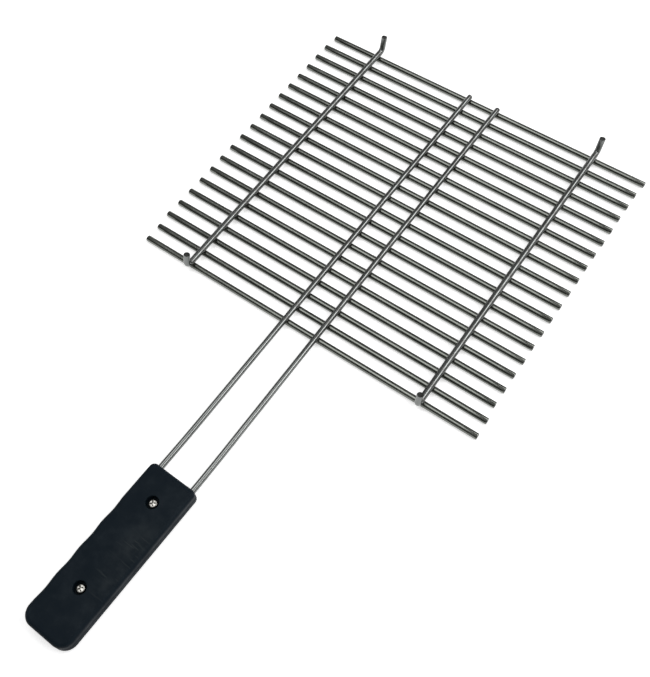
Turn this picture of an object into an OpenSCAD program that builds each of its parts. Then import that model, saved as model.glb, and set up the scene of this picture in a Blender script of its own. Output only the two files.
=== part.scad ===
// Grill grate of welded round wire with a two-part handle
// Twenty bars lie side by side under two side rails and one long hairpin wire
// The hairpin runs back into the handle, and the rails' ends are turned up

/* [Bars] */
// Length of a cross bar
bar_len = 300; // [240:5:380]
// Diameter of a cross bar
bar_d = 5; // [4:0.25:7]
// Distance from one cross bar to the next
bar_pitch = 13.65; // [11:0.05:20]

/* [Side rails] */
// Diameter of the rails and of the handle wire
wire_d = 5; // [4:0.25:6]
// Distance between the two side rails
rail_gap = 208; // [120:2:230]
// How far the long wires sit to the right of the middle of the bars
wire_shift = 1.7; // [0:0.1:4]
// How deep two wires melt into each other at a weld
weld_sink = 0.4; // [0.1:0.1:0.8]
// From the last bar to the corner of a turned-up end
end_reach = 6; // [5:0.5:14]
// Length of a turned-up end, from its corner
end_len = 13.3; // [11:0.1:30]
// How far the turned-up ends lean away from the handle, in degrees
end_lean = 16; // [0:1:20]
// Radius of the bends at the turned-up ends, along the middle of the wire
end_bend_r = 4.5; // [3.5:0.25:5]
// Chamfer on every cut end of a wire
wire_chamfer = 0.4; // [0.1:0.1:0.8]
// How much the wire is drawn thinner in a bend
bend_draw = 0.04; // [0.02:0.01:0.1]

/* [Handle wire] */
// Distance between the two legs of the handle wire
leg_gap = 27.6; // [24:0.2:28]
// How far the legs reach past the farthest bar
leg_overhang = 2; // [0.5:0.5:10]
// Length of bare wire between the nearest bar and the handle
neck_len = 143.3; // [60:0.5:220]
// How far the handle turns to the left where the wire enters it, in degrees
handle_turn = 1.5; // [0.5:0.5:3]
// Radius of that slight turn, along the middle of the hairpin
turn_r = 60; // [40:5:100]

/* [Handle] */
// Length of the handle
handle_len = 126.5; // [118:0.5:180]
// Width of the handle
handle_w = 38.3; // [38:0.1:48]
// Thickness of the handle, both halves together
handle_t = 14.2; // [13.6:0.1:22]
// Thickness of the side walls
handle_wall = 2.4; // [1.6:0.1:2.4]
// Thickness of the top and bottom walls
roof = 2.2; // [1.4:0.1:2.4]
// Rounding of the outer edges
edge_r = 3; // [1:0.25:3.25]
// Corner radius at the front of the handle
front_corner_r = 4; // [3.5:0.25:8]
// Corner radius at the rear of the handle
rear_corner_r = 9.5; // [5:0.5:12]
// Number of finger hollows along the left side
finger_count = 4; // [1:1:4]
// Length of one finger hollow
finger_pitch = 21.6; // [16:0.1:22]
// Depth of the finger hollows
finger_depth = 0.6; // [0.3:0.1:1]
// From the front of the handle to the first finger hollow
finger_start = 27.5; // [10:0.5:28]
// Thickness of the ribs inside
rib_t = 2; // [1.2:0.1:3]
// From a screw to the ribs on either side of it
rib_offset = 11; // [9.5:0.25:12.5]
// Gap between the wire and the grooves that hold it
groove_fit = 0.05; // [0.02:0.01:0.2]
// Room left behind the closed end of the wire
wire_room = 1; // [0.5:0.1:4]

/* [Screws] */
// From the front of the handle to the first screw
screw_inset = 22.5; // [18:0.5:28]
// Distance between the two screws
screw_gap = 69; // [55:0.5:71]
// Diameter of the screws
screw_d = 3.5; // [2.9:0.1:4.2]
// Length of a screw under its head
screw_len = 6.5; // [5.5:0.1:6.8]
// Diameter of a screw head
head_d = 7; // [6:0.1:8]
// Height of a screw head
head_h = 2.6; // [2:0.1:2.8]
// Rounding of a screw head's rim
head_round = 1.6; // [0.6:0.1:1.8]
// How far a screw head lies below the face of the handle
head_sink = 2; // [0.5:0.1:2.2]
// Gap all round a screw head in its well
head_gap = 1.1; // [0.3:0.1:1.3]
// Gap all round a screw in the upper half
screw_fit = 0.25; // [0.1:0.05:0.5]
// Room below a screw's tip in the lower half
tip_room = 0.4; // [0.2:0.1:1]
// Wall of the wells and posts round the screws
post_wall = 1.6; // [1.2:0.1:2]
// Width of the cross recess in a screw head
recess_w = 1; // [0.6:0.1:1.4]
// Length of the cross recess
recess_len = 4.2; // [3:0.1:4.8]
// Depth of the cross recess
recess_depth = 1.5; // [0.8:0.1:1.8]

/* [Hidden] */
$fn = 48;
eps = 0.01;
// How far a straight wire reaches into a bend, so that both are one piece of metal
lap = 0.1;
bar_count = 20;
function bar_name(i) = str("cross_rod_", i < 10 ? "0" : "", i);

steel = "#8a8d8a";
nickel = "#c9c9c4";
black = "#182026";

// Places along the grate, from its middle
last_bar_y = (bar_count - 1) / 2 * bar_pitch;
corner_y = last_bar_y + end_reach;
mouth_y = -(last_bar_y + neck_len);
turn_y = mouth_y + turn_r * sin(handle_turn);
// Height of the long wires above the middle of the bars
wire_z = (bar_d + wire_d) / 2 - weld_sink;
// The handle is its own frame, with its origin in the middle of its front face
mouth_x = wire_shift - turn_r * (1 - cos(handle_turn));
// Half of the handle, and the places inside it
half_t = handle_t / 2;
bend_y = -(handle_len - handle_wall - wire_room - wire_d / 2 - leg_gap / 2);
screw_y = [-screw_inset, -screw_inset - screw_gap];
rib_y = concat(
    [for (y = screw_y, s = [-1, 1]) y + s * rib_offset],
    [(screw_y[0] + screw_y[1]) / 2]
);
finger_r = (pow(finger_pitch / 2, 2) + pow(finger_depth, 2)) / (2 * finger_depth);
well_d = head_d + 2 * head_gap;
well_floor = half_t - head_sink - head_h;
screw_hole_d = screw_d + 2 * screw_fit;
post_d = screw_d + 2 * screw_fit + 2 * post_wall;
hole_depth = screw_len - well_floor + tip_room;

// The part stands on its lowest face, with its origin under the middle of its outline
far_y = corner_y + end_len * sin(end_lean) + wire_d / 2 * cos(end_lean);
rear_y = mouth_y - (handle_len - rear_corner_r) * cos(handle_turn)
    - (handle_w / 2 - rear_corner_r) * sin(handle_turn) - rear_corner_r;
grate_y = -(far_y + rear_y) / 2;
grate_z = max(bar_d / 2, half_t - wire_z);

module at_grate() translate([0, grate_y, grate_z]) children();

module at_handle() {
    at_grate()
        translate([mouth_x, mouth_y, wire_z])
            rotate([0, 0, -handle_turn])
                children();
}

// A round bar along X, centred, with both ends chamfered
module bar_body() {
    rotate([0, 90, 0])
        union() {
            cylinder(d = bar_d, h = bar_len - 2 * wire_chamfer, center = true);
            for (s = [0, 1])
                mirror([0, 0, s])
                    translate([0, 0, bar_len / 2 - wire_chamfer])
                        cylinder(d1 = bar_d, d2 = bar_d - 2 * wire_chamfer, h = wire_chamfer);
        }
}

module all_bars() {
    for (i = [1:bar_count])
        translate([0, -last_bar_y + (i - 1) * bar_pitch, 0])
            bar_body();
}

module cross_rod(i) {
    color(steel)
        at_grate()
            translate([0, -last_bar_y + (i - 1) * bar_pitch, 0])
                bar_body();
}

// A straight wire along +Z that comes out of a bend at the origin and ends in a chamfer
module wire_end(len) {
    translate([0, 0, -lap])
        cylinder(d = wire_d, h = len - wire_chamfer + lap);
    translate([0, 0, len - wire_chamfer])
        cylinder(d1 = wire_d, d2 = wire_d - 2 * wire_chamfer, h = wire_chamfer);
}

// A bend about the origin in the XY plane, from the X axis towards Y
module wire_bend(r, turn) {
    rotate_extrude(angle = turn)
        translate([r, 0])
            circle(d = wire_d - bend_draw);
}

// The turned-up end of a rail: its bend starts at the origin and comes from -Y
module turned_end(turn) {
    translate([0, 0, end_bend_r])
        rotate([0, 90, 0])
            wire_bend(end_bend_r, turn);
    translate([0, end_bend_r * sin(turn), end_bend_r * (1 - cos(turn))])
        rotate([turn - 90, 0, 0])
            wire_end(end_len - end_bend_r * tan(turn / 2));
}

// A side rail lies on the bars, which are melted into its underside
module side_rail(x) {
    far_turn = 90 - end_lean;
    near_turn = 90 + end_lean;
    far_start = corner_y - end_bend_r * tan(far_turn / 2);
    near_start = corner_y - end_bend_r * tan(near_turn / 2);
    color(steel)
        at_grate()
            difference() {
                translate([x, 0, wire_z])
                    union() {
                        translate([0, far_start + lap, 0])
                            rotate([90, 0, 0])
                                cylinder(d = wire_d, h = far_start + near_start + 2 * lap);
                        translate([0, far_start, 0])
                            turned_end(far_turn);
                        mirror([0, 1, 0])
                            translate([0, near_start, 0])
                                turned_end(near_turn);
                    }
                all_bars();
            }
}

module left_rail() side_rail(wire_shift - rail_gap / 2);

module right_rail() side_rail(wire_shift + rail_gap / 2);

// The two legs of the hairpin inside the handle, in the handle's frame
module legs_in_handle(d, start_y) {
    for (s = [-1, 1])
        translate([s * leg_gap / 2, start_y, 0])
            rotate([90, 0, 0])
                cylinder(d = d, h = start_y - bend_y + lap);
}

// The groove that holds the hairpin
module wire_groove() {
    groove_d = wire_d + 2 * groove_fit;
    legs_in_handle(groove_d, handle_wall);
    translate([0, bend_y, 0])
        rotate([0, 0, 180])
            rotate_extrude(angle = 180)
                translate([leg_gap / 2, 0])
                    circle(d = groove_d);
}

module handle_wire() {
    leg_top = last_bar_y + leg_overhang;
    color(steel)
        difference() {
            union() {
                at_grate()
                    translate([wire_shift, turn_y, wire_z])
                        for (s = [-1, 1])
                            translate([s * leg_gap / 2, 0, 0])
                                rotate([-90, 0, 0])
                                    wire_end(leg_top - turn_y);
                at_grate()
                    translate([wire_shift - turn_r, turn_y, wire_z])
                        rotate([0, 0, -handle_turn])
                            for (s = [-1, 1])
                                wire_bend(turn_r + s * leg_gap / 2, handle_turn);
                at_handle() {
                    legs_in_handle(wire_d, lap);
                    translate([0, bend_y, 0])
                        rotate([0, 0, 180])
                            wire_bend(leg_gap / 2, 180);
                }
            }
            at_grate()
                all_bars();
        }
}

// A rectangle from the origin with its far upper corner rounded
module rounded_section(w, h, r) {
    square([w - r, h]);
    square([w, h - r]);
    translate([w - r, h - r])
        intersection() {
            circle(r = r);
            square(r);
        }
}

// Outline of one side of the handle from its middle to its edge
module edge_section(w) rounded_section(w, half_t, edge_r);

module handle_corner(r, turn) rotate([0, 0, turn]) rotate_extrude(angle = 90) edge_section(r);

// Outer form of the upper half, from the joint between the halves at z = 0 up
module handle_form() {
    side_x = handle_w / 2;
    rear_end = -handle_len + rear_corner_r;
    translate([0, -front_corner_r, 0])
        rotate([90, 0, 0])
            linear_extrude(handle_len - front_corner_r - rear_corner_r) {
                edge_section(side_x);
                mirror([1, 0])
                    edge_section(side_x);
            }
    translate([front_corner_r - side_x, -front_corner_r, 0])
        rotate([90, 0, 90])
            linear_extrude(handle_w - 2 * front_corner_r)
                edge_section(front_corner_r);
    translate([rear_corner_r - side_x, rear_end, 0])
        rotate([90, 0, 90])
            linear_extrude(handle_w - 2 * rear_corner_r)
                mirror([1, 0])
                    edge_section(rear_corner_r);
    translate([side_x - front_corner_r, -front_corner_r, 0])
        handle_corner(front_corner_r, 0);
    translate([front_corner_r - side_x, -front_corner_r, 0])
        handle_corner(front_corner_r, 90);
    translate([rear_corner_r - side_x, rear_end, 0])
        handle_corner(rear_corner_r, 180);
    translate([side_x - rear_corner_r, rear_end, 0])
        handle_corner(rear_corner_r, 270);
}

module finger_hollows() {
    for (i = [0:finger_count - 1])
        translate([
            finger_depth - finger_r - handle_w / 2,
            -finger_start - (i + 0.5) * finger_pitch,
            -eps
        ])
            cylinder(r = finger_r, h = half_t + 2 * eps, $fn = 200);
}

// The space inside one half
module handle_hollow() {
    in_x = handle_w / 2 - handle_wall;
    in_r = rear_corner_r - handle_wall;
    in_rear = -handle_len + handle_wall;
    translate([0, 0, -eps])
        linear_extrude(half_t - roof + eps) {
            translate([-in_x, in_rear + in_r])
                square([2 * in_x, -handle_wall - in_rear - in_r]);
            translate([in_r - in_x, in_rear])
                square([2 * (in_x - in_r), in_r + eps]);
            for (s = [-1, 1])
                translate([s * (in_x - in_r), in_rear + in_r])
                    circle(r = in_r);
        }
}

// Ribs across one half, which hold the wire between them
module ribs() {
    in_w = handle_w - 2 * handle_wall + 2 * eps;
    for (y = rib_y)
        translate([-in_w / 2, y - rib_t / 2, 0])
            cube([in_w, rib_t, half_t - roof + eps]);
}

// One half of the handle without its screw holes; its grooves hold the wire
module handle_half() {
    difference() {
        union() {
            difference() {
                handle_form();
                handle_hollow();
                finger_hollows();
            }
            ribs();
            children();
        }
        wire_groove();
    }
}

module handle_top() {
    color(black)
        at_handle()
            difference() {
                handle_half()
                    for (y = screw_y)
                        translate([0, y, 0]) {
                            cylinder(d = post_d, h = half_t - roof + eps);
                            translate([0, 0, well_floor - post_wall])
                                cylinder(d = well_d + 2 * post_wall, h = half_t - roof - well_floor + post_wall + eps);
                        }
                for (y = screw_y)
                    translate([0, y, 0]) {
                        translate([0, 0, -eps])
                            cylinder(d = screw_hole_d, h = half_t);
                        translate([0, 0, well_floor])
                            cylinder(d = well_d, h = half_t);
                    }
            }
}

module handle_bottom() {
    color(black)
        at_handle()
            mirror([0, 0, 1])
                difference() {
                    handle_half()
                        for (y = screw_y)
                            translate([0, y, 0])
                                cylinder(d = post_d, h = half_t - roof + eps);
                    for (y = screw_y)
                        translate([0, y, -eps])
                            cylinder(d = screw_d, h = hole_depth + eps);
                }
}

// A pan-head screw with a cross recess, seated on the floor of its well
module screw(y) {
    color(nickel)
        at_handle()
            translate([0, y, well_floor])
                difference() {
                    union() {
                        rotate_extrude()
                            rounded_section(head_d / 2, head_h, head_round);
                        translate([0, 0, wire_chamfer - screw_len])
                            cylinder(d = screw_d, h = screw_len - wire_chamfer);
                        translate([0, 0, -screw_len])
                            cylinder(d1 = screw_d - 2 * wire_chamfer, d2 = screw_d, h = wire_chamfer);
                    }
                    for (turn = [45, 135])
                        rotate([0, 0, turn])
                            translate([-recess_len / 2, -recess_w / 2, head_h - recess_depth])
                                cube([recess_len, recess_w, recess_depth + eps]);
                }
}

module front_screw() screw(screw_y[0]);

module rear_screw() screw(screw_y[1]);

for (i = [1:bar_count]) cross_rod(i);
left_rail();
right_rail();
handle_wire();
handle_top();
handle_bottom();
front_screw();
rear_screw();
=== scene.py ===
import math
import random

import bmesh
import bpy
from mathutils import Matrix, Vector, noise


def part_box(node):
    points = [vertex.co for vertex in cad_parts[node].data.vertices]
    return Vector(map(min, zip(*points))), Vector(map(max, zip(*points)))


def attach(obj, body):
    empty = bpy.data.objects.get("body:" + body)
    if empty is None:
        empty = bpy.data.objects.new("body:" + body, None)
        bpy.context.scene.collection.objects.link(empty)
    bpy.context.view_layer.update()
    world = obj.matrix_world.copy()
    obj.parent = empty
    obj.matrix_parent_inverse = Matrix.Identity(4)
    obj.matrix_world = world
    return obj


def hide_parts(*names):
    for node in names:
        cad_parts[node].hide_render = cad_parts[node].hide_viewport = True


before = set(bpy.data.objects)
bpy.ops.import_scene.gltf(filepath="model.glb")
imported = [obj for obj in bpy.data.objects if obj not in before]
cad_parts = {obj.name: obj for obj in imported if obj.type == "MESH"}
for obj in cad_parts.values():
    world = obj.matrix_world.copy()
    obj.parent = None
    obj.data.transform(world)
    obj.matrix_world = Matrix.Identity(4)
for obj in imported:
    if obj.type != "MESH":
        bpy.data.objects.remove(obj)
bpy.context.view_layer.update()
print("frame loaded:", len(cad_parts), "nodes")


# Camera of the photograph, found from the bars and the long wires
view = {
    "place": (0.2195, -0.2403, 0.5821),
    "heading": 39.2865,   # degrees to the left of the direction away from the handle
    "tilt": 28.5191,      # degrees up from straight down
    "roll": -4.7027,
    "lens": 47.76,
    "sensor": 36.0,
}


def makeCamera():
    data = bpy.data.cameras.new("photoCamera")
    data.lens = view["lens"]
    data.sensor_width = view["sensor"]
    data.sensor_fit = "AUTO"
    data.clip_start = 0.01
    data.clip_end = 50
    camera = bpy.data.objects.new("photoCamera", data)
    turn = (
        Matrix.Rotation(math.radians(view["heading"]), 4, "Z")
        @ Matrix.Rotation(math.radians(view["tilt"]), 4, "X")
        @ Matrix.Rotation(math.radians(view["roll"]), 4, "Z")
    )
    camera.matrix_world = Matrix.Translation(view["place"]) @ turn
    bpy.context.scene.collection.objects.link(camera)
    bpy.context.scene.camera = camera


makeCamera()
print("camera placed")


# Small helpers for shader trees
def addNode(tree, kind, inputs=None, **settings):
    node = tree.nodes.new(kind)
    for key, value in settings.items():
        setattr(node, key, value)
    for key, value in (inputs or {}).items():
        if isinstance(value, bpy.types.NodeSocket):
            tree.links.new(value, node.inputs[key])
        else:
            node.inputs[key].default_value = value
    return node


def addMath(tree, operation, first, second=0.0, third=0.0):
    return addNode(tree, "ShaderNodeMath", {0: first, 1: second, 2: third}, operation=operation).outputs[0]


def addRange(tree, value, low, high, newLow, newHigh):
    inputs = {"Value": value, "From Min": low, "From Max": high, "To Min": newLow, "To Max": newHigh}
    return addNode(tree, "ShaderNodeMapRange", inputs).outputs["Result"]


def addMix(tree, amount, first, second):
    node = addNode(tree, "ShaderNodeMix", data_type="RGBA")
    for socket, value in ((node.inputs[0], amount), (node.inputs[6], first), (node.inputs[7], second)):
        if isinstance(value, bpy.types.NodeSocket):
            tree.links.new(value, socket)
        elif socket.type == "RGBA":
            socket.default_value = (*value, 1.0)
        else:
            socket.default_value = value
    return node.outputs[2]


# Noise along stretched places, such as streaks or stains
def addStretchedNoise(tree, place, scale, **settings):
    stretched = addNode(tree, "ShaderNodeVectorMath", {0: place, 1: scale}, operation="MULTIPLY")
    inputs = {"Vector": stretched.outputs[0], "Scale": 1.0, **settings}
    return addNode(tree, "ShaderNodeTexNoise", inputs).outputs["Fac"]


def newGroup(name, inputs, outputs):
    tree = bpy.data.node_groups.new(name, "ShaderNodeTree")
    for label, kind, value in inputs:
        socket = tree.interface.new_socket(name=label, in_out="INPUT", socket_type=kind)
        if value is not None:
            socket.default_value = value
    for label in outputs:
        tree.interface.new_socket(name=label, in_out="OUTPUT", socket_type="NodeSocketFloat")
    return tree, tree.nodes.new("NodeGroupInput").outputs, tree.nodes.new("NodeGroupOutput").inputs


def addGroup(tree, group, inputs):
    return addNode(tree, "ShaderNodeGroup", inputs, node_tree=group).outputs


# Marks that drawing leaves along a wire, laid out along its straightened length
def makeDrawingMarks():
    tree, given, made = newGroup(
        "drawingMarks",
        [
            ("Place", "NodeSocketVector", None),
            ("Streak Scale", "NodeSocketVector", (20.0, 3200.0, 3200.0)),
            ("Stain Scale", "NodeSocketVector", (60.0, 220.0, 220.0)),
        ],
        ["Streaks", "Stains", "Pits"],
    )
    streaks = addStretchedNoise(tree, given["Place"], given["Streak Scale"], Detail=3.0)
    tree.links.new(addRange(tree, streaks, 0.3, 0.7, 0.0, 1.0), made["Streaks"])
    stains = addStretchedNoise(tree, given["Place"], given["Stain Scale"], Detail=4.0, Roughness=0.6)
    tree.links.new(addRange(tree, stains, 0.35, 0.7, 0.0, 1.0), made["Stains"])
    pits = addNode(tree, "ShaderNodeTexNoise", {"Vector": given["Place"], "Scale": 2600.0, "Detail": 2.0})
    tree.links.new(addRange(tree, pits.outputs["Fac"], 0.25, 0.5, 0.0, 1.0), made["Pits"])
    return tree


# Fine grain, smudges and small scratches of a handled surface
def makeHandlingMarks():
    tree, given, made = newGroup(
        "handlingMarks",
        [
            ("Place", "NodeSocketVector", None),
            ("Grain Scale", "NodeSocketFloat", 3000.0),
            ("Smudge Scale", "NodeSocketFloat", 60.0),
            ("Scratch Scale", "NodeSocketVector", (900.0, 60.0, 900.0)),
        ],
        ["Grain", "Smudges", "Scratches"],
    )
    grain = addNode(
        tree, "ShaderNodeTexNoise",
        {"Vector": given["Place"], "Scale": given["Grain Scale"], "Detail": 2.0},
    )
    tree.links.new(grain.outputs["Fac"], made["Grain"])
    smudges = addNode(
        tree, "ShaderNodeTexNoise",
        {"Vector": given["Place"], "Scale": given["Smudge Scale"], "Detail": 5.0, "Roughness": 0.62},
    )
    tree.links.new(addRange(tree, smudges.outputs["Fac"], 0.38, 0.68, 0.0, 1.0), made["Smudges"])
    scratches = addStretchedNoise(tree, given["Place"], given["Scratch Scale"], Detail=2.0)
    tree.links.new(addRange(tree, scratches, 0.58, 0.68, 0.0, 1.0), made["Scratches"])
    return tree


drawingMarks = makeDrawingMarks()
handlingMarks = makeHandlingMarks()


def newMaterial(name):
    material = bpy.data.materials.new(name)
    material.use_nodes = True
    tree = material.node_tree
    return material, tree, tree.nodes["Principled BSDF"]


def addBump(tree, shader, height, strength, distance):
    bump = addNode(tree, "ShaderNodeBump", {"Height": height, "Strength": strength, "Distance": distance})
    tree.links.new(bump.outputs["Normal"], shader.inputs["Normal"])


# The third colour of each steel is the darker one near the welds: weld heat tint, and painted contact shade
# where the wires cross
steelLooks = {
    "barSteel": {
        "dark": (0.112, 0.119, 0.107), "light": (0.218, 0.227, 0.208), "heatTintAndShade": (0.085, 0.080, 0.072),
        "roughness": (0.16, 0.28), "heatedRoughness": 0.12,
        "streakScale": (14.0, 2600.0, 2600.0), "stainScale": (45.0, 260.0, 260.0),
        "bump": 0.25, "bumpDepth": 0.00004,
    },
    "railSteel": {
        "dark": (0.118, 0.124, 0.121), "light": (0.236, 0.244, 0.238), "heatTintAndShade": (0.085, 0.080, 0.076),
        "roughness": (0.15, 0.27), "heatedRoughness": 0.12,
        "streakScale": (12.0, 2600.0, 2600.0), "stainScale": (40.0, 240.0, 240.0),
        "bump": 0.25, "bumpDepth": 0.00004,
    },
}


def makeWireSteel(name):
    looks = steelLooks[name]
    material, tree, shader = newMaterial(name)
    place = addNode(tree, "ShaderNodeAttribute", attribute_name="wirePlace").outputs["Vector"]
    heatAndShade = addNode(tree, "ShaderNodeAttribute", attribute_name="weldHeatAndShade").outputs["Fac"]
    marks = addGroup(tree, drawingMarks, {
        "Place": place, "Streak Scale": looks["streakScale"], "Stain Scale": looks["stainScale"],
    })
    stained = addMath(tree, "MULTIPLY", marks["Stains"], 0.45)
    tone = addMath(tree, "MULTIPLY_ADD", marks["Streaks"], 0.55, stained)
    colour = addMix(tree, tone, looks["dark"], looks["light"])
    # Darker near each weld: weld heat tint, and painted contact shade where the wires cross
    colour = addMix(tree, addMath(tree, "MULTIPLY", heatAndShade, 0.5), colour, looks["heatTintAndShade"])
    tree.links.new(colour, shader.inputs["Base Color"])
    shader.inputs["Metallic"].default_value = 1.0
    low, high = looks["roughness"]
    rough = addRange(tree, marks["Stains"], 0.0, 1.0, low, high)
    rough = addMath(tree, "MULTIPLY_ADD", heatAndShade, looks["heatedRoughness"], rough)
    tree.links.new(rough, shader.inputs["Roughness"])
    height = addMath(tree, "MULTIPLY_ADD", marks["Pits"], 0.35, marks["Streaks"])
    addBump(tree, shader, height, looks["bump"], looks["bumpDepth"])
    return material


grainyLooks = {
    "cutSteel": {
        "dark": (0.030, 0.031, 0.030), "light": (0.105, 0.107, 0.103), "roughness": (0.42, 0.62),
        "grain": 2400.0, "smudge": 420.0, "bump": 0.5, "bumpDepth": 0.0001,
    },
    "weldSteel": {
        "dark": (0.075, 0.073, 0.068), "light": (0.170, 0.172, 0.165), "roughness": (0.28, 0.45),
        "grain": 1800.0, "smudge": 260.0, "bump": 0.35, "bumpDepth": 0.0001,
    },
    "screwNickel": {
        "dark": (0.20, 0.195, 0.18), "light": (0.52, 0.51, 0.48), "roughness": (0.14, 0.28),
        "grain": 2600.0, "smudge": 500.0, "bump": 0.2, "bumpDepth": 0.00003,
    },
}


def makeGrainyMetal(name):
    looks = grainyLooks[name]
    material, tree, shader = newMaterial(name)
    place = addNode(tree, "ShaderNodeTexCoord").outputs["Object"]
    marks = addGroup(tree, handlingMarks, {
        "Place": place, "Grain Scale": looks["grain"], "Smudge Scale": looks["smudge"],
    })
    tree.links.new(addMix(tree, marks["Smudges"], looks["dark"], looks["light"]), shader.inputs["Base Color"])
    shader.inputs["Metallic"].default_value = 1.0
    if name == "screwNickel":   # plating dulls where it is smudged, bare steel wherever it is grainy
        rough = addRange(tree, marks["Smudges"], 0.0, 1.0, *looks["roughness"])
    else:
        rough = addRange(tree, marks["Grain"], 0.3, 0.7, *looks["roughness"])
    tree.links.new(rough, shader.inputs["Roughness"])
    addBump(tree, shader, marks["Grain"], looks["bump"], looks["bumpDepth"])
    return material


plasticLooks = {
    "deep": (0.0018, 0.0060, 0.0108), "wornAndHighlit": (0.0070, 0.0130, 0.0185), "scuffed": (0.022, 0.028, 0.031),
    "roughness": (0.50, 0.66), "gloss": 0.10, "edgePolish": -0.08,
    "grain": 3400.0, "smudge": 70.0, "scratch": (60.0, 620.0, 620.0),
    "scuffPlace": (0.011, -0.062), "scuffReach": (0.012, 0.032), "scuffHeight": (0.006, 0.007),
    "bump": 0.28, "bumpDepth": 0.00006,
}


def makeBlackPlastic():
    looks = plasticLooks
    material, tree, shader = newMaterial("blackPlastic")
    place = addNode(tree, "ShaderNodeTexCoord").outputs["Object"]
    marks = addGroup(tree, handlingMarks, {
        "Place": place, "Grain Scale": looks["grain"], "Smudge Scale": looks["smudge"],
        "Scratch Scale": looks["scratch"],
    })
    parts = addNode(tree, "ShaderNodeSeparateXYZ", {0: place}).outputs
    # The palm rubs the upper face on the right, about half way along
    away = []
    for axis, label in enumerate("XY"):
        shifted = addMath(tree, "SUBTRACT", parts[label], looks["scuffPlace"][axis])
        scaled = addMath(tree, "DIVIDE", shifted, looks["scuffReach"][axis])
        away.append(addMath(tree, "MULTIPLY", scaled, scaled))
    rubbed = addRange(tree, addMath(tree, "ADD", *away), 1.3, 0.0, 0.0, 1.0)
    rubbed = addMath(tree, "MULTIPLY", rubbed, addRange(tree, parts["Z"], *looks["scuffHeight"], 0.0, 1.0))
    # Lighter band along the rounded edges: edge wear and a painted edge highlight
    edge = addNode(tree, "ShaderNodeAttribute", attribute_name="edgeWearAndHighlight").outputs["Fac"]
    smudged = addMath(tree, "MULTIPLY", marks["Smudges"], 0.7)
    colour = addMix(tree, addMath(tree, "MAXIMUM", smudged, edge), looks["deep"], looks["wornAndHighlit"])
    streaky = addMath(tree, "MAXIMUM", marks["Scratches"], addMath(tree, "MULTIPLY", marks["Smudges"], 0.5))
    streaky = addMath(tree, "MULTIPLY", rubbed, streaky)
    colour = addMix(tree, streaky, colour, looks["scuffed"])
    tree.links.new(colour, shader.inputs["Base Color"])
    low, high = looks["roughness"]
    rough = addRange(tree, marks["Smudges"], 0.0, 1.0, high, low)
    rough = addMath(tree, "MULTIPLY_ADD", edge, looks["edgePolish"], rough)
    tree.links.new(rough, shader.inputs["Roughness"])
    shader.inputs["Specular IOR Level"].default_value = looks["gloss"]
    addBump(tree, shader, marks["Grain"], looks["bump"], looks["bumpDepth"])
    return material


barSteel = makeWireSteel("barSteel")
railSteel = makeWireSteel("railSteel")
cutSteel = makeGrainyMetal("cutSteel")
weldSteel = makeGrainyMetal("weldSteel")
screwNickel = makeGrainyMetal("screwNickel")
blackPlastic = makeBlackPlastic()
print("materials made")


# A finished mesh becomes a piece of the object
def addPiece(name, mesh, materials, replaced, place=None, sharpAngle=38.0):
    for material in materials:
        mesh.materials.append(material)
    for polygon in mesh.polygons:
        polygon.use_smooth = True
    mesh.set_sharp_from_angle(angle=math.radians(sharpAngle))
    piece = bpy.data.objects.new(name, mesh)
    if place is not None:
        piece.matrix_world = place
    bpy.context.scene.collection.objects.link(piece)
    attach(piece, "root")
    if replaced:
        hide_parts(*replaced)
    return piece


# The path of a wire: straight runs joined by arcs of the given radii
def roundedPath(corners, radii, arcStep):
    stops = [(corners[0].copy(), (corners[1] - corners[0]).normalized())]
    for before, corner, after, radius in zip(corners, corners[1:], corners[2:], radii):
        come = (corner - before).normalized()
        leave = (after - corner).normalized()
        turn = come.angle(leave)
        reach = radius * math.tan(turn / 2)
        inward = (leave - come * come.dot(leave)).normalized()
        centre = corner - come * reach + inward * radius
        count = max(3, math.ceil(turn / arcStep))
        for step in range(count + 1):
            angle = turn * step / count
            point = centre - inward * radius * math.cos(angle) + come * radius * math.sin(angle)
            stops.append((point, come * math.cos(angle) + inward * math.sin(angle)))
    stops.append((corners[-1].copy(), (corners[-1] - corners[-2]).normalized()))
    # Two arcs may meet end to end, and one stop is enough there
    return stops[:1] + [here for last, here in zip(stops, stops[1:]) if (here[0] - last[0]).length > 1e-6]


# Extra stops on the straight runs, close together beside each weld
def densePath(stops, welds):
    weldOffsets = wireLooks["weldOffsets"]
    dense = [stops[0]]
    for (start, _), (end, endDirection) in zip(stops, stops[1:]):
        run = end - start
        length = run.length
        if length > weldOffsets[-1]:
            along = run.normalized()
            marks = set()
            for weld in welds:
                middle = (weld - start).dot(along)
                marks.update(round(middle + offset, 6) for offset in weldOffsets)
            marks = sorted(mark for mark in marks if wireLooks["edge"] < mark < length - wireLooks["edge"])
            known = [0.0, *marks, length]
            for low, high in zip(known, known[1:]):
                pieces = max(1, math.ceil((high - low) / wireLooks["longest"]))
                for step in range(pieces):
                    mark = low + (high - low) * step / pieces
                    if mark > 0.0:
                        dense.append((start + along * mark, along))
        dense.append((end, endDirection))
    return dense


wireLooks = {
    "sides": 28,
    "weldOffsets": (-0.0065, -0.0035, -0.0015, 0.0, 0.0015, 0.0035, 0.0065),
    "heatAndShadeReach": 0.0026,
    "longest": 0.016,
    "edge": 0.0004,       # rounding at a cut end
    "dish": ((0.45, 0.00016), (0.80, 0.00006), (0.93, 0.0)),   # share of the radius, and depth
    "cutTilt": 0.00012,   # how far a cut face leans at its rim
    "cutTurn": 0.9,       # which way round it leans, in radians
    "arcStep": math.radians(7),
}


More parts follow.
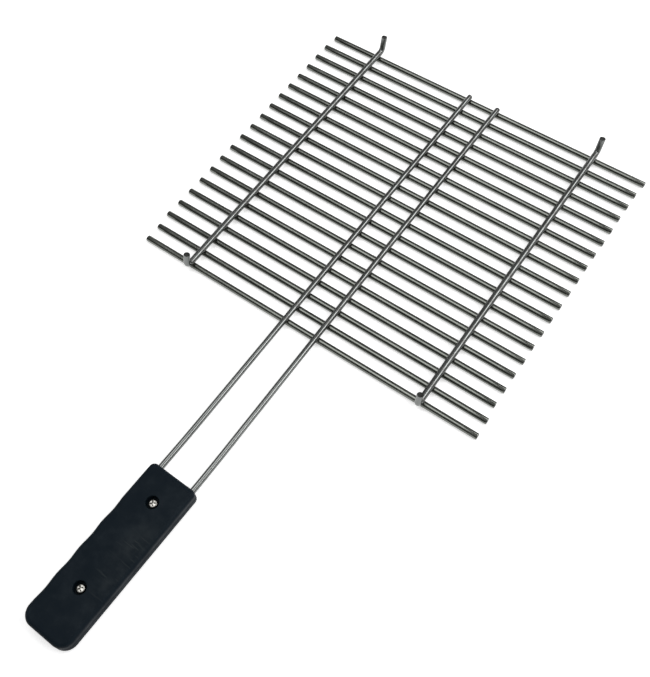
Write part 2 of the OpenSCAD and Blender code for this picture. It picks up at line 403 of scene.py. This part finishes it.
def addWire(name, stops, across, radius, welds, materials, replaced, seed):
    rng = random.Random(seed)
    shift = Vector((rng.uniform(0, 7), rng.uniform(0, 1), rng.uniform(0, 1)))
    dense = densePath(stops, welds)
    edge = wireLooks["edge"]
    mesh = bpy.data.meshes.new(name)
    build = bmesh.new()
    places, heatAndShadeValues, rings = [], [], []

    def addRing(centre, tangent, along, size, slope=0.0):
        up = tangent.cross(across).normalized()
        ring = []
        for side in range(wireLooks["sides"]):
            angle = 2 * math.pi * side / wireLooks["sides"]
            flat = across * math.cos(angle) + up * math.sin(angle)
            point = centre + flat * size + tangent * slope * math.cos(angle - wireLooks["cutTurn"])
            ring.append(build.verts.new(point))
            roundX, roundY = size * math.cos(angle), size * math.sin(angle)
            places.append((along + shift.x, roundX + shift.y, roundY + shift.z))
            # Nearness to a weld, which drives the weld heat tint and the painted contact shade
            nearest = min(((centre - weld).length for weld in welds), default=1.0)
            heatAndShadeValues.append(math.exp(-((nearest / wireLooks["heatAndShadeReach"]) ** 2)))
        rings.append(ring)

    startCentre, startTangent = dense[0]
    endCentre, endTangent = dense[-1]
    startSlope, endSlope = (rng.uniform(-1, 1) * wireLooks["cutTilt"] for _ in range(2))
    # A sheared end: a shallow dish, a burr at its rim and a rounded edge
    dish = wireLooks["dish"]
    rimDepth, rimRadius, rimLean = edge * 0.35, radius - edge * 0.22, 0.6
    for share, depth in dish:
        addRing(startCentre + startTangent * depth, startTangent, depth, radius * share, startSlope * share)
    addRing(startCentre + startTangent * rimDepth, startTangent, rimDepth, rimRadius, startSlope * rimLean)
    addRing(startCentre + startTangent * edge, startTangent, edge, radius)
    along = edge
    previous = startCentre + startTangent * edge
    for centre, tangent in dense[1:-1]:
        if (centre - startCentre).length < edge * 1.5 or (centre - endCentre).length < edge * 1.5:
            continue
        along += (centre - previous).length
        previous = centre
        addRing(centre, tangent, along, radius)
    along += (endCentre - previous).length
    addRing(endCentre - endTangent * edge, endTangent, along - edge, radius)
    addRing(endCentre - endTangent * rimDepth, endTangent, along - rimDepth, rimRadius, endSlope * rimLean)
    for share, depth in reversed(dish):
        addRing(endCentre - endTangent * depth, endTangent, along - depth, radius * share, endSlope * share)

    cutRings = len(dish)
    for index, (low, high) in enumerate(zip(rings, rings[1:])):
        isCut = index < cutRings or index >= len(rings) - 1 - cutRings
        for side in range(wireLooks["sides"]):
            after = (side + 1) % wireLooks["sides"]
            face = build.faces.new((low[side], low[after], high[after], high[side]))
            face.material_index = 1 if isCut else 0
    for ring in (rings[0][::-1], rings[-1]):
        build.faces.new(ring).material_index = 1
    bmesh.ops.recalc_face_normals(build, faces=build.faces)
    build.to_mesh(mesh)
    build.free()
    placeLayer = mesh.attributes.new("wirePlace", "FLOAT_VECTOR", "POINT")
    placeLayer.data.foreach_set("vector", [value for point in places for value in point])
    heatAndShadeLayer = mesh.attributes.new("weldHeatAndShade", "FLOAT", "POINT")
    heatAndShadeLayer.data.foreach_set("value", heatAndShadeValues)
    return addPiece(name, mesh, materials, replaced)


# Rings of squeezed-out metal where two wires are welded across each other
beadLooks = {"around": 22, "section": 8, "thick": 0.00030, "spread": 0.00006, "rise": 0.0002}


def addWeldBeads(name, contacts, lowerRadius, upperRadius, gap, seed):
    rng = random.Random(seed)
    build = bmesh.new()
    sink = lowerRadius + upperRadius - gap
    reach = math.sqrt(2 * sink * lowerRadius * upperRadius / (lowerRadius + upperRadius)) + beadLooks["spread"]
    for contact in contacts:
        phase = rng.uniform(0, 40)
        rings = []
        for step in range(beadLooks["around"]):
            angle = 2 * math.pi * step / beadLooks["around"]
            outward = Vector((math.cos(angle), math.sin(angle), 0))
            uneven = noise.noise(Vector((math.cos(angle) * 1.3 + phase, math.sin(angle) * 1.3, phase)))
            centre = contact + outward * reach * (1 + 0.06 * uneven)
            centre.z += beadLooks["rise"] * math.cos(2 * angle)
            thick = beadLooks["thick"] * (1 + 0.35 * uneven)
            ring = []
            for side in range(beadLooks["section"]):
                turn = 2 * math.pi * side / beadLooks["section"]
                offset = outward * math.cos(turn) * 1.25 + Vector((0, 0, math.sin(turn)))
                ring.append(build.verts.new(centre + offset * thick))
            rings.append(ring)
        for low, high in zip(rings, rings[1:] + rings[:1]):
            for side in range(beadLooks["section"]):
                after = (side + 1) % beadLooks["section"]
                build.faces.new((low[side], high[side], high[after], low[after]))
    bmesh.ops.recalc_face_normals(build, faces=build.faces)
    mesh = bpy.data.meshes.new(name)
    build.to_mesh(mesh)
    build.free()
    return addPiece(name, mesh, [weldSteel], None, sharpAngle=80)


# The cross bars, placed by their CAD nodes
bars = {
    "count": 20, "radius": 0.0025, "length": 0.2994, "unevenEnds": 0.0004, "shift": 0.0003,
    "outOfLine": {1: 0.0018, 2: 0.0015, 20: 0.0012},   # bars that were welded on a little to the right
}
rails = {
    "left": -0.1024, "right": 0.1056, "radius": 0.0025, "sink": 0.0004,
    "endReach": 0.006, "endLength": 0.0133, "lean": 16.0, "bendRadius": 0.0045,
}
hairpin = {
    "radius": 0.00225, "sink": 0.0004, "legGap": 0.0288, "overhang": 0.002,
    "leftLean": 0.41, "rightLean": 0.12, "turnRadius": 1.5, "endX": (-0.01046, 0.01612),
}
handle = {
    "mouth": (0.0005, -0.1432), "turn": 1.5, "length": 0.1273, "width": 0.0390, "thick": 0.0137,
    "wall": 0.0024, "edge": 0.003, "frontCorner": 0.004, "rearCorner": 0.0095,
    "hollows": 4, "hollowStart": 0.0298, "hollowPitch": 0.0214, "hollowDepth": 0.0006,
    "seam": 0.0003, "bendGap": 0.001,
}

barNames = [f"cross_rod_{index + 1:02d}" for index in range(bars["count"])]
barY, barZ = [], []
for nodeName in barNames:
    low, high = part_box(nodeName)
    barY.append((low.y + high.y) / 2)
    barZ.append((low.z + high.z) / 2)
railZ = barZ[0] + bars["radius"] + rails["radius"] - rails["sink"]
hairpinZ = barZ[0] + bars["radius"] + hairpin["radius"] - hairpin["sink"]


def legX(side, y):
    lean = math.radians(hairpin["leftLean"] if side < 0 else hairpin["rightLean"])
    farX = hairpin["endX"][0 if side < 0 else 1]
    return farX - math.tan(lean) * (barY[-1] - y)


for index, nodeName in enumerate(barNames):
    rng = random.Random(100 + index)
    y, z = barY[index], barZ[index]
    middle = bars["shift"] + bars["outOfLine"].get(index + 1, 0.0)
    leftEnd = middle - bars["length"] / 2 + rng.uniform(0, bars["unevenEnds"])
    rightEnd = middle + bars["length"] / 2 - rng.uniform(0, bars["unevenEnds"])
    corners = [Vector((leftEnd, y, z)), Vector((rightEnd, y, z))]
    welds = [Vector((x, y, z)) for x in (rails["left"], legX(-1, y), legX(1, y), rails["right"])]
    addWire(
        f"barWire{index + 1:02d}", roundedPath(corners, [], 0.1), Vector((0, 0, 1)), bars["radius"],
        welds, [barSteel, cutSteel], [nodeName], 200 + index,
    )
print("cross bars made")


def addRail(name, x, nodeName, seed):
    lean = math.radians(rails["lean"])
    away = Vector((0, math.sin(lean), math.cos(lean))) * rails["endLength"]
    near = Vector((x, barY[0] - rails["endReach"], railZ))
    far = Vector((x, barY[-1] + rails["endReach"], railZ))
    stops = roundedPath([near + away, near, far, far + away], [rails["bendRadius"]] * 2, wireLooks["arcStep"])
    welds = [Vector((x, y, railZ)) for y in barY]
    addWire(
        name, stops, Vector((1, 0, 0)), rails["radius"], welds,
        [railSteel, cutSteel], [nodeName], seed,
    )
    contacts = [Vector((x, y, (railZ + z) / 2)) for y, z in zip(barY, barZ)]
    addWeldBeads(name + "Welds", contacts, bars["radius"], rails["radius"], railZ - barZ[0], seed + 1)


addRail("leftRail", rails["left"], "left_rail", 301)
addRail("rightRail", rails["right"], "right_rail", 311)
print("side rails made")

handlePlace = (
    Matrix.Translation((*handle["mouth"], hairpinZ))
    @ Matrix.Rotation(-math.radians(handle["turn"]), 4, "Z")
)


# The middle of the wire at the closed end of the hairpin, in the handle's own frame
hairpinClosedY = -(handle["length"] - handle["wall"] - handle["bendGap"] - hairpin["radius"])


def makeHairpin():
    tipY = barY[-1] + hairpin["overhang"]
    half = hairpin["legGap"] / 2
    closedY = hairpinClosedY
    corners = []
    for side in (-1, 1):
        tip = Vector((legX(side, tipY), tipY, hairpinZ))
        onHandle = handlePlace @ Vector((side * half, 0, 0))
        back = handlePlace @ Vector((side * half, closedY, 0))
        # Where the leg's line meets the line of its groove in the handle
        legRun = Vector((legX(side, 0) - legX(side, 1), -1, 0)).normalized()
        grooveRun = (back - onHandle).normalized()
        cross = legRun.x * grooveRun.y - legRun.y * grooveRun.x
        offset = onHandle - tip
        reach = (offset.x * grooveRun.y - offset.y * grooveRun.x) / cross
        corners.append((tip, tip + legRun * reach, back))
    left, right = corners
    path = [left[0], left[1], left[2], right[2], right[1], right[0]]
    radii = [hairpin["turnRadius"], half, half, hairpin["turnRadius"]]
    stops = roundedPath(path, radii, wireLooks["arcStep"])
    welds = [Vector((legX(side, y), y, hairpinZ)) for side in (-1, 1) for y in barY]
    addWire(
        "handleWire", stops, Vector((0, 0, 1)), hairpin["radius"], welds,
        [railSteel, cutSteel], ["handle_wire"], 321,
    )
    gap = hairpinZ - barZ[0]
    for label, side in (("Left", -1), ("Right", 1)):
        contacts = [Vector((legX(side, y), y, (hairpinZ + z) / 2)) for y, z in zip(barY, barZ)]
        addWeldBeads("handleWireWelds" + label, contacts, bars["radius"], hairpin["radius"], gap, 331 + side)


makeHairpin()
print("handle wire made")


# The outline of the handle, drawn in by the given amount, as points round it
def handleOutline(inset):
    half = handle["width"] / 2 - inset
    length = handle["length"]
    front = handle["frontCorner"] - inset
    rear = handle["rearCorner"] - inset
    points = []
    for step in range(13):
        angle = math.pi / 2 * step / 12
        points.append((half - front + front * math.cos(angle), -inset - front + front * math.sin(angle)))
    for step in range(13):
        angle = math.pi / 2 * step / 12
        points.append((-half + front - front * math.sin(angle), -inset - front + front * math.cos(angle)))
    sideStart, sideEnd = -handle["frontCorner"] - 0.002, -length + handle["rearCorner"] + 0.001
    for step in range(121):
        y = sideStart + (sideEnd - sideStart) * step / 120
        turns = (-y - handle["hollowStart"]) / handle["hollowPitch"]
        inHollow = 0 <= turns <= handle["hollows"]
        wave = 0.5 - 0.5 * math.cos(2 * math.pi * turns)
        dip = handle["hollowDepth"] * wave if inHollow else 0
        points.append((-half + dip, y))
    for step in range(19):
        angle = math.pi / 2 * step / 18
        points.append((-half + rear - rear * math.cos(angle), -length + inset + rear - rear * math.sin(angle)))
    for step in range(19):
        angle = math.pi / 2 * step / 18
        points.append((half - rear + rear * math.sin(angle), -length + inset + rear - rear * math.cos(angle)))
    for step in range(1, 24):
        points.append((half, sideEnd + (sideStart - sideEnd) * step / 24))
    return points


def halfHandleMesh(name, upward):
    top = handle["thick"] / 2
    edge = handle["edge"]
    seam = handle["seam"]
    levels = [(seam, 0.0), (seam * 0.25, seam), (0.0, seam * 1.6), (0.0, top - edge)]
    for step in range(1, 9):
        angle = math.pi / 2 * step / 8
        levels.append((edge * (1 - math.cos(angle)), top - edge + edge * math.sin(angle)))
    levels.append((edge + 0.0006, top))
    build = bmesh.new()
    rings = [[build.verts.new((x, y, z * upward)) for x, y in handleOutline(inset)] for inset, z in levels]
    count = len(rings[0])
    for low, high in zip(rings, rings[1:]):
        for step in range(count):
            after = (step + 1) % count
            build.faces.new((low[step], low[after], high[after], high[step]))
    build.faces.new(rings[0][::-1])
    build.faces.new(rings[-1])
    bmesh.ops.recalc_face_normals(build, faces=build.faces)
    mesh = bpy.data.meshes.new(name)
    build.to_mesh(mesh)
    build.free()
    return mesh


def revolvedMesh(name, profile, sides):
    build = bmesh.new()
    rings = []
    for radius, z in profile:
        if radius < 1e-7:
            rings.append([build.verts.new((0, 0, z))])
        else:
            angles = [2 * math.pi * side / sides for side in range(sides)]
            rings.append([build.verts.new((radius * math.cos(a), radius * math.sin(a), z)) for a in angles])
    for low, high in zip(rings, rings[1:]):
        for side in range(sides):
            after = (side + 1) % sides
            corners = [low[side % len(low)], low[after % len(low)]]
            corners += [high[after % len(high)], high[side % len(high)]]
            unique = []
            for corner in corners:
                if corner not in unique:
                    unique.append(corner)
            build.faces.new(unique)
    for ring in (rings[0], rings[-1]):
        if len(ring) > 1:
            build.faces.new(ring)
    bmesh.ops.recalc_face_normals(build, faces=build.faces)
    mesh = bpy.data.meshes.new(name)
    build.to_mesh(mesh)
    build.free()
    return mesh


def placedMesh(mesh, matrix):
    mesh.transform(matrix)
    return mesh


def carve(mesh, cutters):
    body = bpy.data.objects.new("carved", mesh)
    bpy.context.scene.collection.objects.link(body)
    for cutterMesh in cutters:
        cutter = bpy.data.objects.new("cutter", cutterMesh)
        bpy.context.scene.collection.objects.link(cutter)
        step = body.modifiers.new("carve", "BOOLEAN")
        step.object = cutter
        step.operation = "DIFFERENCE"
        step.solver = "EXACT"
        bpy.context.view_layer.update()
        evaluated = body.evaluated_get(bpy.context.evaluated_depsgraph_get())
        result = bpy.data.meshes.new_from_object(evaluated)
        body.modifiers.clear()
        body.data = result
        bpy.data.objects.remove(cutter)
    result = body.data
    bpy.data.objects.remove(body)
    return result


screws = {
    "places": (-0.0225, -0.0915), "diameter": 0.0035, "length": 0.0065, "headWidth": 0.007,
    "headHeight": 0.0026, "headSink": 0.002, "headGap": 0.0011, "rim": 0.0016,
    "recessWidth": 0.0010, "recessLength": 0.0042, "recessDepth": 0.0015, "turns": (38.0, 52.0),
    "wellLip": 0.00035, "clearance": 0.00008,   # the wells' rounded lips, and the gap round the wire
}
wellFloor = handle["thick"] / 2 - screws["headSink"] - screws["headHeight"]
wellRadius = screws["headWidth"] / 2 + screws["headGap"]


def wellCutter(y):
    top = handle["thick"] / 2
    lip = screws["wellLip"]
    profile = [(0, wellFloor), (wellRadius, wellFloor), (wellRadius, top - lip)]
    for step in range(1, 5):
        angle = math.pi / 2 * step / 4
        profile.append((wellRadius + lip * (1 - math.cos(angle)), top - lip + lip * math.sin(angle)))
    profile += [(wellRadius + lip, top + 0.001), (0, top + 0.001)]
    return placedMesh(revolvedMesh("well", profile, 56), Matrix.Translation((0, y, 0)))


def grooveCutter():
    half = hairpin["legGap"] / 2
    radius = hairpin["radius"] + screws["clearance"]
    closedY = hairpinClosedY
    frontY = 0.004   # past the front face, so that the groove is open there
    corners = ((-half, frontY), (-half, closedY), (half, closedY), (half, frontY))
    path = [Vector((x, y, 0)) for x, y in corners]
    build = bmesh.new()
    rings = []
    for centre, tangent in roundedPath(path, [half, half], math.radians(8)):
        up = tangent.cross(Vector((0, 0, 1))).normalized()
        rings.append([
            build.verts.new(centre + Vector((0, 0, 1)) * radius * math.cos(a) + up * radius * math.sin(a))
            for a in [2 * math.pi * s / 24 for s in range(24)]
        ])
    for low, high in zip(rings, rings[1:]):
        for side in range(24):
            after = (side + 1) % 24
            build.faces.new((low[side], low[after], high[after], high[side]))
    build.faces.new(rings[0])
    build.faces.new(rings[-1])
    bmesh.ops.recalc_face_normals(build, faces=build.faces)
    mesh = bpy.data.meshes.new("groove")
    build.to_mesh(mesh)
    build.free()
    return mesh


def addHandleHalf(name, upward, nodeName):
    mesh = halfHandleMesh(name, upward)
    cutters = [grooveCutter()]
    if upward > 0:
        cutters += [wellCutter(y) for y in screws["places"]]
    mesh = carve(mesh, cutters)
    mesh.name = name
    mesh.materials.clear()
    # Wear and a painted edge highlight show where the face turns over into the sides
    top = handle["thick"] / 2
    wearAndSheen = []
    for vertex in mesh.vertices:
        x, y, z = vertex.co
        rise = max(0.0, 1 - abs(abs(z) - (top - handle["edge"] * 0.25)) / (handle["edge"] * 0.5))
        patch = 0.5 + 0.5 * noise.noise(Vector((x * 90, y * 90, 3.1)))
        wearAndSheen.append(rise * patch)
    layer = mesh.attributes.new("edgeWearAndHighlight", "FLOAT", "POINT")
    layer.data.foreach_set("value", wearAndSheen)
    piece = addPiece(name, mesh, [blackPlastic], [nodeName], handlePlace, sharpAngle=32)
    weighted = piece.modifiers.new("evenNormals", "WEIGHTED_NORMAL")
    weighted.keep_sharp = True
    return piece


addHandleHalf("handleTop", 1, "handle_top")
addHandleHalf("handleBottom", -1, "handle_bottom")
print("handle halves made")


def recessCutter(turn):
    width, length, depth = screws["recessWidth"] / 2, screws["recessLength"] / 2, screws["recessDepth"]
    top = screws["headHeight"] + 0.0002
    low = screws["headHeight"] - depth
    build = bmesh.new()
    signs = ((-1, -1), (1, -1), (1, 1), (-1, 1))
    upper = [build.verts.new((sx * length, sy * width, top)) for sx, sy in signs]
    lower = [build.verts.new((sx * length * 0.45, sy * width * 0.6, low)) for sx, sy in signs]
    build.faces.new(upper)
    build.faces.new(lower[::-1])
    for side in range(4):
        after = (side + 1) % 4
        build.faces.new((upper[side], lower[side], lower[after], upper[after]))
    bmesh.ops.recalc_face_normals(build, faces=build.faces)
    mesh = bpy.data.meshes.new("recess")
    build.to_mesh(mesh)
    build.free()
    return placedMesh(mesh, Matrix.Rotation(turn, 4, "Z"))


def addScrew(name, y, turn, nodeName):
    half, height, rim = screws["headWidth"] / 2, screws["headHeight"], screws["rim"]
    core = screws["diameter"] / 2
    tip = -screws["length"]
    profile = [(0, tip), (core * 0.55, tip + 0.0001), (core, tip + 0.0009), (core, -0.0002)]
    profile += [(core + 0.0002, 0.0), (half - 0.0001, 0.0), (half, 0.0001), (half, height - rim)]
    for step in range(1, 9):
        angle = math.pi / 2 * step / 8
        profile.append((half - rim + rim * math.cos(angle), height - rim + rim * math.sin(angle)))
    profile += [(half - rim - 0.0004, height + 0.00002), (0, height + 0.00005)]
    mesh = revolvedMesh(name, profile, 64)
    mesh = carve(mesh, [recessCutter(math.radians(turn)), recessCutter(math.radians(turn + 90))])
    mesh.materials.clear()
    place = handlePlace @ Matrix.Translation((0, y, wellFloor))
    piece = addPiece(name, mesh, [screwNickel], [nodeName], place, sharpAngle=35)
    weighted = piece.modifiers.new("evenNormals", "WEIGHTED_NORMAL")
    weighted.keep_sharp = True


addScrew("frontScrew", screws["places"][0], screws["turns"][0], "front_screw")
addScrew("rearScrew", screws["places"][1], screws["turns"][1], "rear_screw")
print("screws made")


# A pale floor, two soft lamps and a dim room round them
studio = {
    "floorSize": 16.0, "floorDrop": 0.00005, "floorColour": (0.86, 0.86, 0.86), "floorGlow": 0.55,
    "overhead": {"place": (-0.30, -0.08, 1.5), "size": (1.05, 0.85), "radiance": 2.5},
    "backRight": {"place": (1.05, 0.85, 1.45), "size": (2.0, 0.75), "radiance": 4.8},
    "roomHigh": 0.36, "roomFront": 0.03, "roomBack": 0.20, "roomEdge": 1.0,
}


def addLamp(name, looks, target):
    data = bpy.data.lights.new(name, "AREA")
    data.shape = "RECTANGLE"
    data.size, data.size_y = looks["size"]
    data.energy = looks["radiance"] * math.pi * data.size * data.size_y
    lamp = bpy.data.objects.new(name, data)
    lamp.location = looks["place"]
    lamp.rotation_euler = (Vector(target) - Vector(looks["place"])).to_track_quat("-Z", "Y").to_euler()
    bpy.context.scene.collection.objects.link(lamp)


def makeFloor():
    half = studio["floorSize"] / 2
    build = bmesh.new()
    bmesh.ops.create_grid(build, x_segments=8, y_segments=8, size=half)
    mesh = bpy.data.meshes.new("floor")
    build.to_mesh(mesh)
    build.free()
    material = bpy.data.materials.new("paleFloor")
    material.use_nodes = True
    tree = material.node_tree
    tree.nodes.clear()
    diffuse = addNode(tree, "ShaderNodeBsdfDiffuse", {"Color": (*studio["floorColour"], 1)})
    path = addNode(tree, "ShaderNodeLightPath").outputs
    mirrored = addMath(tree, "MAXIMUM", path["Is Glossy Ray"], path["Is Transmission Ray"])
    seen = addMath(tree, "MAXIMUM", path["Is Camera Ray"], mirrored)
    strength = addMath(tree, "MULTIPLY", seen, studio["floorGlow"])
    glow = addNode(tree, "ShaderNodeEmission", {"Strength": strength})
    both = addNode(tree, "ShaderNodeAddShader", {0: diffuse.outputs[0], 1: glow.outputs[0]})
    output = addNode(tree, "ShaderNodeOutputMaterial")
    tree.links.new(both.outputs[0], output.inputs["Surface"])
    mesh.materials.append(material)
    floor = bpy.data.objects.new("floor", mesh)
    floor.location.z = -studio["floorDrop"]   # the underside of the handle is flat, and lies just above it
    bpy.context.scene.collection.objects.link(floor)


def makeRoom():
    world = bpy.data.worlds.new("room")
    world.use_nodes = True
    tree = world.node_tree
    direction = addNode(tree, "ShaderNodeTexCoord").outputs["Generated"]
    parts = addNode(tree, "ShaderNodeSeparateXYZ", {0: direction}).outputs
    side = addRange(tree, parts["Y"], -0.5, 0.6, studio["roomFront"], studio["roomBack"])
    height = addRange(tree, parts["Z"], 0.45, 0.80, 0.0, 1.0)
    bright = addMath(tree, "MULTIPLY_ADD", height, addMath(tree, "SUBTRACT", studio["roomHigh"], side), side)
    atEdge = addRange(tree, parts["Z"], 0.08, 0.14, 1.0, 0.0)
    toEdge = addMath(tree, "SUBTRACT", studio["roomEdge"], bright)
    bright = addMath(tree, "MULTIPLY_ADD", atEdge, toEdge, bright)
    background = tree.nodes["Background"]
    tree.links.new(bright, background.inputs["Strength"])
    background.inputs["Color"].default_value = (1, 1, 1, 1)
    bpy.context.scene.world = world


addLamp("overheadLamp", studio["overhead"], (0, 0, 0))
addLamp("backRightLamp", studio["backRight"], (0, 0.1, 0))
makeFloor()
makeRoom()
bpy.context.scene.view_settings.view_transform = "Standard"
print("floor and lamps placed")
